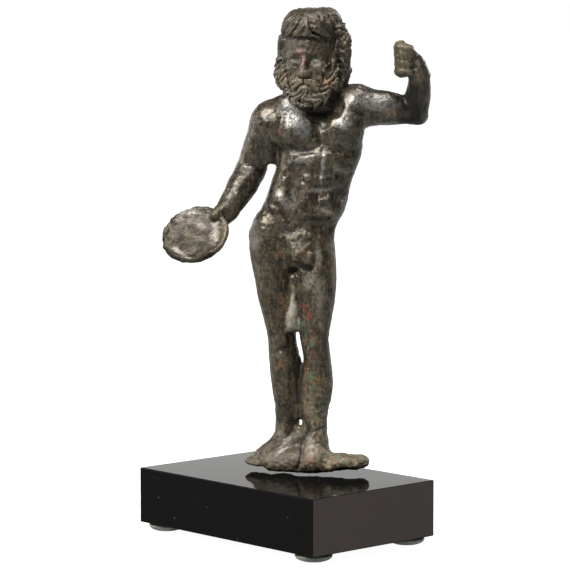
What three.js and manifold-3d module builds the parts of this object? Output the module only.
// A small Roman bronze of a standing, bearded god, nude, with a dish for offerings in its
// lowered right hand and its left arm raised. It stands on a polished black stone plinth with
// four round rubber pads under it.
// Millimetres, +Z up. The plinth's long sides run along X, and it stands on Z = 0.
import * as THREE from "three";
import { mergeVertices } from "three/addons/utils/BufferGeometryUtils.js";
import Module from "manifold-3d";

const wasm = await Module();
wasm.setup();

// Driving dimensions
const PLINTH_LENGTH = 70;
const PLINTH_WIDTH = 45;
const PLINTH_HEIGHT = 15.3;
const PLINTH_CHAMFER = 0.4;
const PAD_RADIUS = 5;
const PAD_HEIGHT = 2.2;
const PAD_INSET = 5.3;
const PAD_GAP = 0.3;
const FIGURE_TURN_DEG = 47.3;
const DISH_RADIUS = 9.2;
const DISH_HEIGHT = 2.6;

const PLINTH_TOP = PAD_HEIGHT + PLINTH_HEIGHT;

// The figure's own frame: X towards its left hand, Y towards its back, Z up from the plinth's
// top. Left and right are the figure's own.
const RIGHT_ARM = {
  shoulder: [-4.4, 1.4, 96],
  elbow: [-9.4, 3, 82.8],
  wrist: [-15.6, -4, 72.4],
  palm: [-17.3, -3.7, 70],
};
const LEFT_ARM = {
  shoulder: [17.8, 1.4, 100.2],
  elbow: [35.4, 1.8, 99],
  wrist: [36.4, -1.6, 108.2],
  fist: [32.1, -2.4, 113.2],
};
const HEAD = [7.6, 0.8, 114];
const HEAD_TURN_DEG = -18;
const NECK = { base: [8.8, 3, 98], top: [8, 2, 108] };
const DISH_CENTRE = [-24.1, -9.2, 66.5];
const DISH_TILT_DEG = { forward: 47, sideways: -17 };
// The worn soles just clear the plinth by the right heel, and rise towards the left foot
const SOLE = { low: 0, lowUntil: -4, high: 1.6, highFrom: 8 };

// The trunk from the crotch to the base of the neck:
// height, middle across, middle deep, half width, half depth
const TRUNK = [
  [57, 2.4, 1.2, 10.4, 5.4],
  [63, 2, 1, 11.3, 6.6],
  [67.5, 2.5, 0.9, 11.3, 6.6],
  [72, 4.6, 0.6, 11.3, 6.2],
  [75, 5.8, 0.4, 11.2, 5.9],
  [78, 6.6, 0.4, 10.9, 5.9],
  [81, 7.5, 0.4, 10.85, 6],
  [84, 8.6, 0.5, 10.9, 6.2],
  [87, 9.4, 0.8, 11.2, 6.5],
  [92, 9.8, 1.2, 11.2, 6.6],
  [98, 9, 1.8, 10.4, 5.6],
  [103.5, 9.4, 2.4, 7.2, 3.8],
];
const TRUNK_SQUARENESS = 2.4;

// Each leg's middle line from hip to ankle: across, deep, up, radius
const RIGHT_LEG = [
  [-3.6, 0.8, 61, 5.9],
  [-2.9, 0.4, 54, 5.4],
  [-1.7, 0.4, 45, 4.6],
  [-0.7, 0.6, 36.6, 4],
  [-0.2, 1.6, 31, 4.3],
  [0.2, 2.6, 24, 3.8],
  [0.7, 3.8, 15, 3.3],
  [0.6, 4.4, 10, 3.5],
];
const LEFT_LEG = [
  [8, 0.4, 61, 5.6],
  [8.4, -0.4, 53, 5.7],
  [8.3, -1.2, 45, 4.9],
  [7.9, -1.6, 37, 4],
  [8.6, -0.8, 31.6, 3.9],
  [8.6, -0.2, 24.6, 4.6],
  [8.2, 0, 15.4, 3.4],
  [8, -0.2, 10.4, 3.6],
];

// The figure is worked out in four regions, each with a grid as fine as its forms need
const GRIDS = {
  body: { from: [-32, -14, 2], to: [42, 16, 116], step: [2.25, 2.3, 2.55] },
  head: { from: [-7, -15, 97], to: [23, 14, 130], step: [1.25, 1.3, 1.3] },
  feet: { from: [-15, -11, -2], to: [27, 16, 14], step: [1.7, 1.7, 1.5] },
  fist: { from: [26, -9, 103], to: [42, 5, 120], step: [1.3, 1.3, 1.3] },
};
const FAR = 8;

const add3 = (a, b) => a.map((v, i) => v + b[i]);
const between = (a, b, t) => a.map((v, i) => v + (b[i] - v) * t);
const distance = (a, b) => Math.hypot(a[0] - b[0], a[1] - b[1], a[2] - b[2]);

// Shapes as distance functions, each with the box that holds it

// A rod between two points whose radius runs from the first to the second
function rod(a, b, radiusA, radiusB = radiusA) {
  const axis = b.map((v, i) => v - a[i]);
  const lengthSquared = axis.reduce((sum, v) => sum + v * v, 1e-9);
  const most = Math.max(radiusA, radiusB);
  return {
    low: a.map((v, i) => Math.min(v, b[i]) - most),
    high: a.map((v, i) => Math.max(v, b[i]) + most),
    distance(x, y, z) {
      const px = x - a[0];
      const py = y - a[1];
      const pz = z - a[2];
      const along = (px * axis[0] + py * axis[1] + pz * axis[2]) / lengthSquared;
      const t = Math.min(1, Math.max(0, along));
      const away = Math.hypot(px - t * axis[0], py - t * axis[1], pz - t * axis[2]);
      return away - radiusA - t * (radiusB - radiusA);
    },
  };
}

// An ellipsoid, turned about X, then Y, then Z, in degrees
function blob(centre, radii, turn = [0, 0, 0]) {
  const euler = new THREE.Euler(...turn.map(THREE.MathUtils.degToRad), "ZYX");
  const m = new THREE.Matrix4().makeRotationFromEuler(euler).elements;
  const most = Math.max(...radii);
  return {
    low: centre.map((v) => v - most),
    high: centre.map((v) => v + most),
    distance(x, y, z) {
      const p = [x - centre[0], y - centre[1], z - centre[2]];
      let near = 0;
      let steep = 0;
      for (let i = 0; i < 3; i++) {
        const local = m[4 * i] * p[0] + m[4 * i + 1] * p[1] + m[4 * i + 2] * p[2];
        near += (local / radii[i]) ** 2;
        steep += (local / radii[i] ** 2) ** 2;
      }
      near = Math.sqrt(near);
      return (near * (near - 1)) / Math.sqrt(steep + 1e-9);
    },
  };
}

// An upright body whose oval section changes with height, from a table of stations
function loft(stations, squareness) {
  const first = stations[0];
  const last = stations[stations.length - 1];
  const reach = (sign, middle, half) => sign * Math.max(...stations.map((s) => sign * s[middle] + s[half]));
  return {
    low: [reach(-1, 1, 3), reach(-1, 2, 4), first[0]],
    high: [reach(1, 1, 3), reach(1, 2, 4), last[0]],
    distance(x, y, z) {
      const level = Math.min(last[0], Math.max(first[0], z));
      const next = Math.max(1, stations.findIndex((s) => s[0] >= level));
      const t = (level - stations[next - 1][0]) / (stations[next][0] - stations[next - 1][0]);
      const [, cx, cy, a, b] = between(stations[next - 1], stations[next], t);
      const u = Math.abs(x - cx) / a;
      const v = Math.abs(y - cy) / b;
      const q = Math.max(0.3, (u ** squareness + v ** squareness) ** (1 / squareness));
      const slope = Math.hypot(u ** (squareness - 1) / a, v ** (squareness - 1) / b);
      const aside = (q - 1) / Math.max(slope * q ** (1 - squareness), 0.05);
      return Math.max(aside, z - last[0], first[0] - z);
    },
  };
}

// All that lies under a surface whose height is given across the figure
function ground(height, { from, to }) {
  const top = Math.max(height(from[0]), height(to[0]));
  return {
    low: from,
    high: [to[0], to[1], top],
    distance: (x, y, z) => z - height(x),
  };
}

// The form as a list of steps: each adds a shape to what is there, or carves it away, with a
// soft edge of the given width
class Form {
  constructor() {
    this.steps = [];
  }
  add(shape, soft) {
    this.steps.push({ shape, soft, sign: 1 });
  }
  carve(shape, soft) {
    this.steps.push({ shape, soft, sign: -1 });
  }
  // Rods one after another through points that carry their radius last
  addChain(points, soft) {
    for (let i = 1; i < points.length; i++) {
      const [a, b] = [points[i - 1], points[i]];
      this.add(rod(a.slice(0, 3), b.slice(0, 3), a[3], b[3]), i === 1 ? soft : 0.6);
    }
  }
}

function gridLines({ from, to, step }) {
  return from.map((start, axis) => {
    const count = Math.ceil((to[axis] - start) / step[axis]);
    return Array.from({ length: count + 1 }, (_, i) => start + i * step[axis]);
  });
}

// The form's distances at every crossing of the grid lines
function sampleForm(form, lines) {
  const [nx, ny, nz] = lines.map((l) => l.length);
  const values = new Float32Array(nx * ny * nz).fill(FAR);
  for (const { shape, soft, sign } of form.steps) {
    const reach = soft + 4.5;
    const range = lines.map((l, i) => [
      l.findIndex((v) => v >= shape.low[i] - reach),
      l.findLastIndex((v) => v <= shape.high[i] + reach),
    ]);
    for (let k = range[2][0]; k <= range[2][1]; k++)
      for (let j = range[1][0]; j <= range[1][1]; j++)
        for (let i = range[0][0]; i <= range[0][1]; i++) {
          const at = i + nx * (j + ny * k);
          const d = shape.distance(lines[0][i], lines[1][j], lines[2][k]);
          const was = values[at] * sign;
          const overlap = Math.max(soft - Math.abs(was - d), 0);
          values[at] = sign * (Math.min(was, d) - (overlap * overlap) / (4 * soft));
        }
  }
  return values;
}

// Dual marching cubes. A cell's corner c sits at bit 0 of c along X, bit 1 along Y and bit 2
// along Z, and each sheet of the surface that passes through a cell gives it one vertex.
const EDGES = [0, 1, 2].flatMap((axis) =>
  [0, 1, 2, 3, 4, 5, 6, 7]
    .filter((corner) => !(corner & (1 << axis)))
    .map((corner) => [corner, corner | (1 << axis)]),
);
const edgeBetween = (a, b) => EDGES.findIndex(([p, q]) => p === Math.min(a, b) && q === Math.max(a, b));
const FACES = [0, 1, 2].flatMap((axis) =>
  [0, 1].map((side) => {
    const base = side << axis;
    const u = 1 << ((axis + 1) % 3);
    const v = 1 << ((axis + 2) % 3);
    return [base, base | u, base | u | v, base | v];
  }),
);

// For each pattern of inside corners: the sheet that each of the 12 edges belongs to, or -1
function sheetsOf(pattern) {
  const inside = (corner) => (pattern >> corner) & 1;
  const sheet = EDGES.map(([a, b], i) => (inside(a) !== inside(b) ? i : -1));
  const join = (e, f) => {
    const [from, to] = [sheet[e], sheet[f]];
    sheet.forEach((s, i) => {
      if (s === from) sheet[i] = to;
    });
  };
  for (const face of FACES) {
    const edges = face.map((corner, i) => edgeBetween(corner, face[(i + 1) % 4]));
    const crossed = edges.filter((e) => sheet[e] >= 0);
    if (crossed.length === 2) join(...crossed);
    if (crossed.length === 4)
      face.forEach((corner, i) => {
        if (inside(corner)) join(edges[(i + 3) % 4], edges[i]);
      });
  }
  const names = [...new Set(sheet.filter((s) => s >= 0))];
  return sheet.map((s) => names.indexOf(s));
}
const SHEETS = Array.from({ length: 256 }, (_, pattern) => sheetsOf(pattern));

function surfaceOf(form, grid) {
  const lines = gridLines(grid);
  const [nx, ny, nz] = lines.map((l) => l.length);
  const values = sampleForm(form, lines);
  const index = (i, j, k) => i + nx * (j + ny * k);
  const cornerIndex = (i, j, k, c) => index(i + (c & 1), j + ((c >> 1) & 1), k + ((c >> 2) & 1));
  const positions = [];
  const vertexOf = new Map();
  const patternAt = (i, j, k) => {
    let pattern = 0;
    for (let c = 0; c < 8; c++) if (values[cornerIndex(i, j, k, c)] < 0) pattern |= 1 << c;
    return pattern;
  };
  for (let k = 0; k < nz - 1; k++)
    for (let j = 0; j < ny - 1; j++)
      for (let i = 0; i < nx - 1; i++) {
        const pattern = patternAt(i, j, k);
        if (pattern === 0 || pattern === 255) continue;
        const sheets = SHEETS[pattern];
        for (let s = 0; s <= Math.max(...sheets); s++) {
          const sum = [0, 0, 0];
          let count = 0;
          EDGES.forEach(([a, b], e) => {
            if (sheets[e] !== s) return;
            const va = values[cornerIndex(i, j, k, a)];
            const vb = values[cornerIndex(i, j, k, b)];
            const t = va / (va - vb);
            [i, j, k].forEach((base, axis) => {
              const from = lines[axis][base + ((a >> axis) & 1)];
              const to = lines[axis][base + ((b >> axis) & 1)];
              sum[axis] += from + t * (to - from);
            });
            count++;
          });
          vertexOf.set(index(i, j, k) * 4 + s, positions.length / 3);
          positions.push(...sum.map((v) => v / count));
        }
      }
  const triangles = [];
  const point = (v) => positions.slice(3 * v, 3 * v + 3);
  const quad = (corners) => {
    const [a, b, c, d] = corners;
    if (distance(point(a), point(c)) < distance(point(b), point(d))) triangles.push(a, b, c, a, c, d);
    else triangles.push(a, b, d, b, c, d);
  };
  for (let axis = 0; axis < 3; axis++) {
    const u = (axis + 1) % 3;
    const v = (axis + 2) % 3;
    for (let k = 1; k < nz - 1; k++)
      for (let j = 1; j < ny - 1; j++)
        for (let i = 1; i < nx - 1; i++) {
          const here = values[index(i, j, k)];
          const next = [i, j, k].map((n, a) => n + (a === axis ? 1 : 0));
          if (here < 0 === values[index(...next)] < 0) continue;
          const ring = [[0, 0], [1, 0], [1, 1], [0, 1]].map(([du, dv]) => {
            const cell = [i, j, k];
            cell[u] -= du;
            cell[v] -= dv;
            const low = (du << u) | (dv << v);
            const edge = edgeBetween(low, low | (1 << axis));
            const sheet = SHEETS[patternAt(...cell)][edge];
            return vertexOf.get(index(...cell) * 4 + sheet);
          });
          quad(here < 0 ? ring : ring.reverse());
        }
  }
  const geometry = new THREE.BufferGeometry();
  geometry.setAttribute("position", new THREE.Float32BufferAttribute(positions, 3));
  geometry.setIndex(triangles);
  return geometry;
}

// The body's parts

function addTrunk(form) {
  form.add(loft(TRUNK, TRUNK_SQUARENESS), 1);
  // The shoulders' yoke, the breast, the loins and the seat
  form.add(rod([-3.6, 1.8, 97.4], [2, 2.4, 101], 4.6, 4.2), 2);
  form.add(rod([14, 2.2, 101], [19, 1.6, 101], 4.6, 5), 2);
  form.add(blob([3.6, -3.4, 93], [6.6, 3.6, 4.4], [0, -12, 0]), 1.2);
  form.add(blob([15.8, -3.2, 93.8], [6.4, 3.4, 4.4], [0, 14, 0]), 1.2);
  form.add(blob([12.2, -0.6, 73.6], [4.2, 5.8, 5.4], [0, 12, 0]), 2);
  form.add(blob([-2.4, -0.8, 74.6], [3.8, 5.8, 5.4], [0, -20, 0]), 2);
  form.add(blob([-4.4, 5, 64.5], [5.6, 4.6, 6.4]), 2);
  form.add(blob([7.6, 4.8, 64], [5.6, 4.6, 6.2]), 2);
  form.add(rod(NECK.base, NECK.top, 5, 4.4), 3);
}

// The grooves of the belly, worked from the breastbone down
function carveBelly(form) {
  const middle = [
    [10.6, -6.4, 92],
    [9.7, -6.8, 86],
    [8.6, -6.6, 79],
    [7.4, -6.8, 73],
  ];
  for (let i = 1; i < middle.length; i++) form.carve(rod(middle[i - 1], middle[i], 0.9), 1.2);
  for (const height of [85.6, 81.4, 77])
    for (const side of [-1, 1]) {
      const start = [8.8 + (height - 80) * 0.24, -6.6, height];
      form.carve(rod(start, add3(start, [side * 5.6, 1.6, 0.5]), 0.8, 0.5), 1);
    }
  const fold = [
    [-4.4, -4.6, 73.6],
    [-2, -6, 68.6],
    [3.4, -6.8, 66],
    [9, -6, 67.6],
    [13, -4.2, 70.4],
  ];
  for (let i = 1; i < fold.length; i++) form.carve(rod(fold[i - 1], fold[i], 0.9), 1.2);
}

function addGenitals(form) {
  const root = [4.4, -5.4, 63.6];
  form.add(blob(root, [3.2, 2, 2.6]), 1.2);
  form.add(rod(add3(root, [0.2, -1.6, 0.2]), add3(root, [-0.2, -2.8, -3.4]), 1.2, 1), 0.8);
  form.add(blob(add3(root, [-1.4, -1.2, -3.2]), [1.8, 1.6, 2.2]), 0.8);
  form.add(blob(add3(root, [1.4, -1.2, -3.6]), [1.8, 1.6, 2.2]), 0.8);
}

function addArms(form) {
  const right = RIGHT_ARM;
  form.add(blob(right.shoulder, [5, 5, 5.2]), 2.5);
  form.add(rod(add3(right.shoulder, [-0.8, 0.2, -2]), right.elbow, 4.6, 3.9), 2);
  form.add(rod(right.elbow, between(right.elbow, right.wrist, 0.4), 3.9, 3.9), 1.5);
  form.add(rod(between(right.elbow, right.wrist, 0.4), right.wrist, 3.9, 2.9), 1);
  // The palm and fingers lie under the dish, and the thumb comes over its rim
  form.add(rod(right.wrist, right.palm, 2.9, 2.6), 1.2);
  form.add(rod(right.palm, add3(DISH_CENTRE, [-1, 2.4, -1.4]), 2.4, 1.6), 1);
  form.add(rod(add3(right.wrist, [-1, -1, 0.4]), add3(DISH_CENTRE, [4, 1.1, 3.9]), 1.8, 1.3), 0.8);
  const left = LEFT_ARM;
  form.add(blob(add3(left.shoulder, [1.6, 0, 0]), [5.4, 5, 5.6]), 2.5);
  form.add(rod(add3(left.shoulder, [5, 0, 0]), add3(left.elbow, [-2, 0, 0]), 5.2, 3.7), 1.5);
  form.add(rod(add3(left.elbow, [-0.4, 0, 0]), between(left.elbow, left.wrist, 0.5), 3.6, 3.4), 1.2);
  form.add(rod(between(left.elbow, left.wrist, 0.5), add3(left.wrist, [-0.6, -0.4, 1.6]), 3.4, 2.7), 1);
}

function addLegs(form) {
  for (const leg of [RIGHT_LEG, LEFT_LEG]) {
    form.addChain(leg, 2);
    const side = leg === RIGHT_LEG ? -1 : 1;
    const [knee, calf] = [leg[3], leg[4]];
    form.add(blob([knee[0] + side * 0.4, knee[1] - 2.6, knee[2] + 0.6], [2.6, 2.2, 3]), 1);
    form.add(blob([calf[0] + side * 0.5, calf[1] + 1.6, calf[2] - 2], [3.8, 3.4, 6.4]), 0.8);
  }
  // A skin of metal left between the thighs
  form.add(rod([2.2, -0.6, 41.8], [2.9, -1, 52], 1.8, 0.8), 0.8);
}

// Both feet turn far out, and their worn heels have run together
function addFeet(form) {
  const [rightAnkle, leftAnkle] = [RIGHT_LEG.at(-1), LEFT_LEG.at(-1)];
  form.add(rod(rightAnkle.slice(0, 3), [0.4, 5, 4.6], 3.4, 3.6), 1);
  form.add(rod([0, 4.8, 7.4], [-5.2, 5.6, 4.4], 3.6, 3), 2);
  for (const [y, reach] of [[4.6, -9], [6.8, -9.8], [8.8, -8.8]])
    form.add(rod([-4, y - 0.6, 3.2], [reach, y, 2.4], 2, 1.5), 1);
  form.add(rod(leftAnkle.slice(0, 3), [8, -0.8, 4.8], 3.5, 3.9), 1);
  form.add(rod([8.4, -1, 5.4], [15, -1.2, 4.2], 4, 2.6), 2);
  for (const [y, reach] of [[-3, 20.6], [-0.6, 21.8], [1.6, 21]])
    form.add(rod([13.6, y, 4], [reach, y + 0.8, 3.7], 2, 1.5), 1);
  form.add(rod([-1.6, 2.4, 3.2], [8, -3.4, 4.2], 3.2, 3.4), 2);
  const soleHeight = (x) =>
    THREE.MathUtils.mapLinear(
      THREE.MathUtils.clamp(x, SOLE.lowUntil, SOLE.highFrom),
      SOLE.lowUntil,
      SOLE.highFrom,
      SOLE.low,
      SOLE.high,
    );
  form.carve(ground(soleHeight, GRIDS.feet), 0.6);
}

function addFist(form) {
  const { wrist, fist } = LEFT_ARM;
  const back = add3(fist, [3.9, 0.6, -0.6]);
  form.add(rod(add3(wrist, [-0.2, -0.2, 0.6]), back, 2.6, 2.7), 1);
  form.add(rod(back, add3(fist, [0.6, 0.2, 3]), 2.7, 1.6), 1);
  form.add(blob(fist, [2.1, 2.6, 4.5], [0, 4, 0]), 0.8);
  for (let finger = 0; finger < 4; finger++) {
    const height = -3.3 + 2.1 * finger;
    form.add(rod(add3(fist, [-1.3, -1, height]), add3(fist, [1, -1.6, height + 0.2]), 1.2), 0.3);
  }
}

// Shapes of the head, given in its own frame: its face looks along -Y
const headTurn = new THREE.Matrix4()
  .makeTranslation(...HEAD)
  .multiply(new THREE.Matrix4().makeRotationZ(THREE.MathUtils.degToRad(HEAD_TURN_DEG)));
const inHead = (point) => new THREE.Vector3(...point).applyMatrix4(headTurn).toArray();
const headRod = (a, b, ...radii) => rod(inHead(a), inHead(b), ...radii);
const headBlob = (at, radii, [rx, ry, rz] = [0, 0, 0]) =>
  blob(inHead(at), radii, [rx, ry, rz + HEAD_TURN_DEG]);

function addFace(form) {
  form.add(headBlob([0, 0.6, 1], [7.6, 8.6, 9]), 1);
  form.add(headBlob([0, -3.6, -3], [6, 4.6, 7]), 2);
  form.add(headRod([-3.4, -7.2, 1.9], [3.4, -7.2, 1.9], 1.2), 1);
  form.add(headRod([0, -8, 1.4], [0, -9.6, -2.6], 0.9, 1.3), 0.7);
  for (const side of [-1, 1]) {
    form.carve(headBlob([side * 3, -9, -0.2], [1.9, 1.4, 1]), 1);
    form.add(headBlob([side * 3.8, -6.2, -2.6], [2.2, 2, 1.8]), 1);
  }
}

function addBeard(form) {
  form.add(headBlob([0, -4.2, -8.4], [6, 4.4, 5]), 1.2);
  for (const side of [-1, 1]) {
    form.add(headRod([side * 0.7, -8.9, -4.6], [side * 4, -7.2, -6.4], 1.1, 1), 0.4);
    form.add(headRod([side * 6.2, -3, -1], [side * 5.6, -4.4, -8], 1.7, 2), 0.8);
  }
  const rows = 3;
  const across = 5;
  for (let row = 0; row < rows; row++)
    for (let i = 0; i < across; i++) {
      const angle = THREE.MathUtils.degToRad(-66 + (132 / (across - 1)) * i);
      const wide = 5.4 - row;
      const at = [Math.sin(angle) * wide, -3.8 - Math.cos(angle) * (4.9 - row * 0.7), -7.4 - row * 2.3];
      form.add(headBlob(at, [1.4, 1.3, 1.5]), 0.4);
    }
}

// A flat-topped cap of swept locks over a roll of hair that hangs beside the cheeks
function addHair(form) {
  form.add(headBlob([0, 1.6, 6.4], [7.8, 8.2, 7.4]), 1);
  form.add(headBlob([0, 3.4, 0], [8.8, 6.8, 9]), 1);
  for (const side of [-1, 1]) {
    form.addChain(
      [
        [...inHead([side * 6.8, -3, 6]), 2.4],
        [...inHead([side * 8.4, -0.8, 1]), 2.4],
        [...inHead([side * 8.4, -1, -4]), 2.6],
        [...inHead([side * 6.6, -1, -8.4]), 2],
      ],
      0.8,
    );
  }
  const locks = 9;
  for (let i = 0; i < locks; i++) {
    const angle = THREE.MathUtils.degToRad(-100 + (200 / (locks - 1)) * i);
    const ray = (out, up) => [Math.sin(angle) * out, 1 - Math.cos(angle) * out, up];
    form.add(headRod(ray(4.4, 11.4), ray(7.3, 9), 1.5, 1.6), 0.4);
    form.add(headRod(ray(7.3, 9), ray(8.6, 5.2), 1.6, 1.2), 0.4);
  }
  form.carve(headBlob([0, 1, 28.2], [40, 40, 15.6]), 0.8);
}

// Turning a mesh into a solid and back, for joins and cuts
function toSolid(geometry) {
  const bare = geometry.index ? geometry.toNonIndexed() : geometry.clone();
  bare.deleteAttribute("normal");
  bare.deleteAttribute("uv");
  const merged = mergeVertices(bare, 1e-3);
  const corners = merged.index.array;
  const kept = [];
  for (let i = 0; i < corners.length; i += 3) {
    const [a, b, c] = corners.slice(i, i + 3);
    if (a !== b && b !== c && c !== a) kept.push(a, b, c);
  }
  return new wasm.Manifold(
    new wasm.Mesh({
      numProp: 3,
      vertProperties: merged.attributes.position.array,
      triVerts: new Uint32Array(kept),
    }),
  );
}

function toGeometry(solid) {
  const mesh = solid.getMesh();
  const geometry = new THREE.BufferGeometry();
  geometry.setAttribute("position", new THREE.BufferAttribute(new Float32Array(mesh.vertProperties), 3));
  geometry.setIndex(new THREE.BufferAttribute(new Uint32Array(mesh.triVerts), 1));
  geometry.computeVertexNormals();
  return geometry;
}

function dishGeometry() {
  const rim = 1;
  const floor = 1.1;
  const profile = [
    [0, 0],
    [DISH_RADIUS * 0.6, 0],
    [DISH_RADIUS * 0.94, DISH_HEIGHT * 0.5],
    [DISH_RADIUS, DISH_HEIGHT],
    [DISH_RADIUS - rim, DISH_HEIGHT],
    [DISH_RADIUS * 0.74, floor],
    [0, floor],
  ].map(([r, z]) => new THREE.Vector2(r, z));
  return new THREE.LatheGeometry(profile, 28)
    .rotateX(Math.PI / 2)
    .translate(0, 0, -DISH_HEIGHT / 2)
    .rotateX(THREE.MathUtils.degToRad(DISH_TILT_DEG.forward))
    .rotateY(THREE.MathUtils.degToRad(DISH_TILT_DEG.sideways))
    .translate(...DISH_CENTRE);
}

function figureGeometry() {
  const regions = {
    body: [addTrunk, addArms, addLegs, carveBelly, addGenitals],
    head: [addFace, addBeard, addHair],
    feet: [addFeet],
    fist: [addFist],
  };
  const solids = Object.entries(regions).map(([region, builders]) => {
    const form = new Form();
    builders.forEach((build) => build(form));
    return toSolid(surfaceOf(form, GRIDS[region]));
  });
  return toGeometry([...solids, toSolid(dishGeometry())].reduce((joined, solid) => joined.add(solid)));
}

function plinthGeometry() {
  const c = PLINTH_CHAMFER;
  const [x, y] = [PLINTH_LENGTH / 2, PLINTH_WIDTH / 2];
  const outline = new THREE.Shape();
  outline.moveTo(-x + c, -y);
  const corners = [
    [x - c, -y],
    [x, -y + c],
    [x, y - c],
    [x - c, y],
    [-x + c, y],
    [-x, y - c],
    [-x, -y + c],
  ];
  for (const [px, py] of corners) outline.lineTo(px, py);
  outline.closePath();
  return new THREE.ExtrudeGeometry(outline, {
    depth: PLINTH_HEIGHT - 2 * c,
    bevelThickness: c,
    bevelSize: c,
    bevelOffset: -c,
    bevelSegments: 1,
  }).translate(0, 0, PAD_HEIGHT + c);
}

function padGeometry() {
  const top = PAD_HEIGHT - PAD_GAP;
  const profile = [
    [0, 0],
    [PAD_RADIUS * 0.64, 0],
    [PAD_RADIUS * 0.88, top * 0.4],
    [PAD_RADIUS, top],
    [0, top],
  ].map(([r, z]) => new THREE.Vector2(r, z));
  return new THREE.LatheGeometry(profile, 20).rotateX(Math.PI / 2);
}

const bronze = new THREE.MeshStandardMaterial({ color: 0x4a4238, roughness: 0.5, metalness: 0.8 });
const blackStone = new THREE.MeshStandardMaterial({ color: 0x141414, roughness: 0.08, metalness: 0 });
const rubber = new THREE.MeshStandardMaterial({ color: 0x7c7c70, roughness: 0.5, metalness: 0 });

function namedMesh(name, geometry, material) {
  const mesh = new THREE.Mesh(geometry, material);
  mesh.name = name;
  return mesh;
}

const figureFrame = new THREE.Group();
figureFrame.position.z = PLINTH_TOP;
figureFrame.rotation.z = THREE.MathUtils.degToRad(FIGURE_TURN_DEG);
figureFrame.add(namedMesh("figure", figureGeometry(), bronze));

const standing = new THREE.Group();
standing.add(figureFrame, namedMesh("plinth", plinthGeometry(), blackStone));
for (const [end, sideX] of [["left", -1], ["right", 1]])
  for (const [edge, sideY] of [["front", -1], ["back", 1]]) {
    const pad = namedMesh(`pad_${edge}_${end}`, padGeometry(), rubber);
    pad.position.set(sideX * (PLINTH_LENGTH / 2 - PAD_INSET), sideY * (PLINTH_WIDTH / 2 - PAD_INSET), 0);
    standing.add(pad);
  }

// The origin is under the middle of everything, at the height that the pads stand on
const middle = new THREE.Box3().setFromObject(standing, true).getCenter(new THREE.Vector3());
standing.position.set(-middle.x, -middle.y, 0);

const statuette = new THREE.Group();
statuette.add(standing);

export default statuette;
